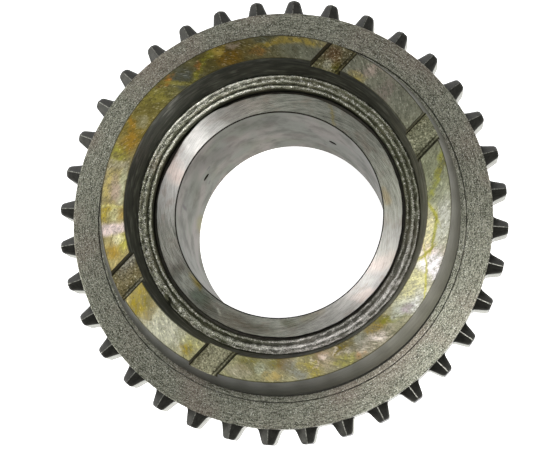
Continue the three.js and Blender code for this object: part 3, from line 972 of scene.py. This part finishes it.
def bead_point(share, angle):
    """Radius and height of the weld's surface, share 0 at its outer edge and 1 at its inner one."""
    around = Vector((9 * math.cos(angle), 9 * math.sin(angle), 0))
    wander = noise.noise(around * 0.35 + Vector((0, 0, 3)))
    outer = BEAD_OUTER_RADIUS + 0.1 * noise.noise(around * 2)
    inner = BEAD_INNER_RADIUS + 0.15 * noise.noise(around * 1.3 + Vector((0, 0, 7)))
    radius = outer + (inner - outer) * share
    upper_left = 0.5 + 0.5 * math.cos(angle - BEAD_UPPER_LEFT)
    right = 0.5 + 0.5 * math.cos(angle - BEAD_RIGHT)
    last = 0.87 - 0.09 * upper_left + 0.02 * wander
    # An outer run, a broad middle one, a fine one on the right, and the inner run with a valley before it
    runs = 0.34 * crest_height(share, 0.09, 0.06) * (0.4 + 0.6 * upper_left)
    runs += 0.34 * crest_height(share, 0.38 + 0.1 * right, 0.19 - 0.07 * right) * (1 - 0.4 * upper_left)
    runs += 0.2 * crest_height(share, 0.15, 0.05) * right
    runs += (0.14 + 0.28 * upper_left) * crest_height(share, last, 0.07 + 0.045 * upper_left)
    runs -= 0.17 * crest_height(share, last - 0.19, 0.045)
    runs *= 1 - 0.12 * right
    place = Vector((radius * math.cos(angle), radius * math.sin(angle), 0))
    turned = Vector((14 * math.cos(angle), 14 * math.sin(angle), radius * 2.2))
    lumps = 0.14 * noise.noise(place * 0.8) + 0.08 * noise.noise(place * 2.2) + 0.1 * noise.noise(turned)
    toe = -0.9 * max(0.0, (share - 0.95) / 0.05) ** 2 - 0.5 * max(0.0, (0.03 - share) / 0.03)
    pit_x = radius * (angle - BEAD_PIT_ANGLE)
    pit = -0.9 * math.exp(-(pit_x / 1.1) ** 2 - ((radius - BEAD_PIT_RADIUS) / 0.8) ** 2)
    level = BEAD_LEVEL + BEAD_SLOPE * (BEAD_OUTER_RADIUS - radius)
    return radius, level - 0.2 + runs + lumps + toe + pit


def weld_bead(surfaces):
    base = WELD_LEDGE + 0.2
    verts = []
    for i in range(BEAD_AROUND):
        angle = TURN * i / BEAD_AROUND
        c, s = math.cos(angle), math.sin(angle)
        loop = [(WELD_LEDGE_RADIUS - 0.3, base)]
        loop += [bead_point(j / BEAD_ACROSS, angle) for j in range(BEAD_ACROSS + 1)]
        loop += [(HUB_BORE_RADIUS - 0.15, base)]
        verts += [(r * c, r * s, min(z, BEAD_CROWN)) for r, z in loop]
    bead = mesh_object("weld_bead_metal", [(verts, ring_of_quads(BEAD_AROUND, len(loop)))])
    finish_piece(bead, "weld_bead", surfaces, ("weld",), lambda *face: "weld", sharp=50)


def involute_half_angle(radius):
    """Half of a tooth's angular width at a radius."""
    pitch_radius = SUN_MODULE * SUN_TEETH / 2
    base = pitch_radius * math.cos(PRESSURE_ANGLE)
    at_radius = math.acos(base / max(radius, base))
    roll = math.tan(at_radius) - at_radius
    roll_at_pitch = math.tan(PRESSURE_ANGLE) - PRESSURE_ANGLE
    return math.pi / (2 * SUN_TEETH) + roll_at_pitch - roll


def sun_outline():
    """Points of the sun gear's outline as (radius, angle)."""
    root = SUN_MODULE * (SUN_TEETH / 2 - 1.25)
    pitch = TURN / SUN_TEETH
    steps = 8
    start = root + 0.8
    rising = []
    for i in range(steps + 1):
        radius = start + (SUN_TIP_RADIUS - start) * i / steps
        rising.append((radius, -involute_half_angle(radius)))
    foot = involute_half_angle(start)
    fillet = [(root, -foot - 0.0135), (root + 0.22, -foot - 0.006), (root + 0.48, -foot - 0.0018)]
    root_land = [(root, -pitch / 2)]
    half = root_land + fillet + rising
    mirrored = [(r, -a) for r, a in reversed(half[1:])]
    outline = []
    for tooth in range(SUN_TEETH):
        centre = OIL_HOLE_FIRST + (tooth + 0.5) * pitch
        outline += [(r, centre + a) for r, a in half + mirrored]
    return outline


def sun_teeth():
    outline = sun_outline()
    inner = (RUNOUT_RADIUS + BORE_RADIUS) / 2
    low, high = REAR_BOSS_LENGTH, SHOULDER - RUNOUT_LENGTH
    chamfer = 0.9
    levels = [(low, chamfer), (low + chamfer, 0), (high - chamfer, 0), (high, chamfer)]
    verts = []
    for z, cut in levels:
        for r, a in outline:
            r = min(r, SUN_TIP_RADIUS - cut)
            verts.append((r * math.cos(a), r * math.sin(a), z))
    for z in (high, low):
        verts += [(inner * math.cos(a), inner * math.sin(a), z) for r, a in outline]
    n = len(outline)
    faces = []
    for level in range(6):
        a, b = level * n, ((level + 1) % 6) * n
        for i in range(n):
            k = (i + 1) % n
            faces.append((a + i, a + k, b + k, b + i))
    return verts, faces


def oil_drill(angle):
    sides, start, end = 40, BORE_RADIUS - 4, SUN_TIP_RADIUS + 4
    c, s = math.cos(angle), math.sin(angle)
    verts, faces = [], []
    for r in (start, end):
        for i in range(sides):
            t = TURN * i / sides
            y, z = OIL_HOLE_RADIUS * math.cos(t), OIL_HOLE_RADIUS * math.sin(t)
            verts.append((r * c - y * s, r * s + y * c, OIL_HOLE_LEVEL + z))
    for i in range(sides):
        k = (i + 1) % sides
        faces.append((i, k, sides + k, sides + i))
    faces.append(tuple(range(sides - 1, -1, -1)))
    faces.append(tuple(range(sides, 2 * sides)))
    return verts, faces


def sun_gear_sleeve(surfaces):
    def wander(r, z, angle):
        """The flange's outer edge isn't quite round, where the weld's heat has marked it."""
        if r > FLANGE_RADIUS - 0.6 and r < SPIGOT_RADIUS - 0.3 and z > GROOVE_FLOOR - 0.5:
            around = Vector((3 * math.cos(angle), 3 * math.sin(angle), 1))
            r += 0.22 * noise.noise(around) + 0.1 * noise.noise(around * 3.7)
            for at, width, amount in FLANGE_WAVES:
                r += amount * math.exp(-((math.degrees(angle) - at) / width) ** 2)
        return r, z

    body = lathe(rounded([
        (BORE_RADIUS, BORE_CHAMFER + 0.2, 0),
        (BORE_RADIUS + BORE_CHAMFER + 0.2, 0, 0),
        (REAR_BOSS_RADIUS, 0, 0.6),
        (REAR_BOSS_RADIUS, REAR_BOSS_LENGTH + 1, 0),
        (RUNOUT_RADIUS, REAR_BOSS_LENGTH + 1, 0),
        (RUNOUT_RADIUS, SHOULDER, 0.3),
        (SPIGOT_RADIUS, SHOULDER, 0),
        (SPIGOT_RADIUS, GROOVE_FLOOR, 0.15),
        (FLANGE_RADIUS, GROOVE_FLOOR, 0.3),
        (FLANGE_RADIUS, FLANGE_FACE, 0.15),
        (BORE_RADIUS + BORE_CHAMFER, FLANGE_FACE, 0),
        (BORE_RADIUS, FLANGE_FACE - BORE_CHAMFER, 0),
    ]), shape=wander)
    sleeve = mesh_object("sun_gear_sleeve_steel", [body])
    combine(sleeve, mesh_object("teeth", [sun_teeth()]), "UNION")
    for side in (0, math.pi):
        for step in (0, OIL_HOLE_STEP):
            drill = mesh_object("drill", [oil_drill(OIL_HOLE_FIRST + step + side)])
            combine(sleeve, drill, "DIFFERENCE")

    def choose(centre, radius, normal, outward):
        if centre.z > FLANGE_FACE - 0.02 and normal.z > 0.9:
            return "flange"
        if abs(radius - BORE_RADIUS) < 0.05 and outward < -0.9:
            return "bore"
        if centre.z > FLANGE_FACE - 1 and radius < BORE_RADIUS + 1:
            return "edge_line"
        if centre.z > SHOULDER + 1 or radius < RUNOUT_RADIUS - 2.5 and centre.z > 1:
            return "groove"
        if radius > RUNOUT_RADIUS + 0.3 and abs(normal.z) < 0.5:
            return "gear"
        return "turned"

    use = ("flange", "bore", "edge_line", "groove", "gear", "turned")
    finish_piece(sleeve, "sun_gear_sleeve", surfaces, use, choose)


# Stage, light and camera

def floor():
    """A pale floor that gives off some light, 24 metres wide."""
    size = 12.0
    mesh = bpy.data.meshes.new("floor")
    corners = [(-size, -size, 0), (size, -size, 0), (size, size, 0), (-size, size, 0)]
    mesh.from_pydata(corners, [], [(0, 1, 2, 3)])
    obj = bpy.data.objects.new("floor", mesh)
    bpy.context.scene.collection.objects.link(obj)
    material = bpy.data.materials.new("pale_floor")
    material.use_nodes = True
    shader = material.node_tree.nodes["Principled BSDF"]
    shader.inputs["Base Color"].default_value = (0.9, 0.9, 0.9, 1)
    shader.inputs["Roughness"].default_value = 0.9
    shader.inputs["Emission Color"].default_value = (1, 1, 1, 1)
    shader.inputs["Emission Strength"].default_value = 1.0
    mesh.materials.append(material)


def soft_light(name, place, size, power):
    """A square soft light at place, facing the middle of the part."""
    data = bpy.data.lights.new(name, "AREA")
    data.size = size
    data.energy = power
    obj = bpy.data.objects.new(name, data)
    bpy.context.scene.collection.objects.link(obj)
    obj.location = place
    target = Vector((0, 0, 0.03))
    obj.rotation_euler = (target - obj.location).to_track_quat("-Z", "Y").to_euler()


def light_from(azimuth, tilt, distance):
    """A place at an azimuth from +X and a tilt from the axis, both in degrees."""
    a, t = math.radians(azimuth), math.radians(tilt)
    return Vector((math.cos(a) * math.sin(t), math.sin(a) * math.sin(t), math.cos(t))) * distance


def lights():
    soft_light("key", light_from(327, 38, 1.0), 0.35, 6.8)
    soft_light("back", light_from(147, 42, 1.0), 0.35, 2.0)
    soft_light("overhead", light_from(20, 3, 1.0), 0.3, 1.2)
    soft_light("left", light_from(192, 84, 0.9), 0.7, 8.5)
    world = bpy.data.worlds.new("studio")
    world.use_nodes = True
    background = world.node_tree.nodes["Background"]
    background.inputs["Color"].default_value = (1, 1, 1, 1)
    background.inputs["Strength"].default_value = 0.25
    bpy.context.scene.world = world


def camera():
    data = bpy.data.cameras.new("camera")
    data.sensor_width = SENSOR_WIDTH
    data.lens = CAMERA_LENS
    data.clip_start = 0.01
    obj = bpy.data.objects.new("camera", data)
    bpy.context.scene.collection.objects.link(obj)
    up = CAMERA_BACK.cross(CAMERA_RIGHT)
    turn = Matrix((CAMERA_RIGHT, up, CAMERA_BACK)).transposed().to_4x4()
    place = (CAMERA_OFFSET + Vector((0, 0, HEIGHT))) * MM
    obj.matrix_world = Matrix.Translation(place) @ turn
    bpy.context.scene.camera = obj


camera()
surfaces = {
    "face": ring_face_steel(),
    "oxide": tooth_oxide(),
    "counterbore": counterbore_oxide(),
    "groove": dark_oxide_and_painted_shade("groove_oxide", (42, 40, 33)),
    "slot_wall": slot_wall_oxide(),
    # Painted shade: the undercut under the cone's base gets a near-black tone
    "relief": dark_oxide_and_painted_shade("relief_oxide", (40, 40, 35)),
    "joint": dark_oxide_and_painted_shade("joint_oxide", (26, 26, 22)),
    "edge_line": dark_oxide_and_painted_shade("bore_edge_oxide", (34, 32, 26)),
    "edge": worn_edge(),
    "flank": cut_steel("machined_flank", (0.6, 5), ((118, 118, 111), (166, 166, 158)), 0.42, 0.4, 0.05),
    "stained": stained_face(),
    "slot": slot_floor(),
    "cone": cone_satin(),
    "weld": weld_metal(),
    "flange": flange_ground(),
    "bore": bore_ground(),
    "gear": cut_steel("ground_gear_flank", (0.5, 4), ((118, 118, 110), (150, 150, 141)), 0.36, 0.3, 0.04),
    "turned": turned_steel(),
}
clutch_ring(surfaces)
cone_hub(surfaces)
weld_bead(surfaces)
sun_gear_sleeve(surfaces)
floor()
lights()
bpy.context.scene.view_settings.view_transform = "Standard"
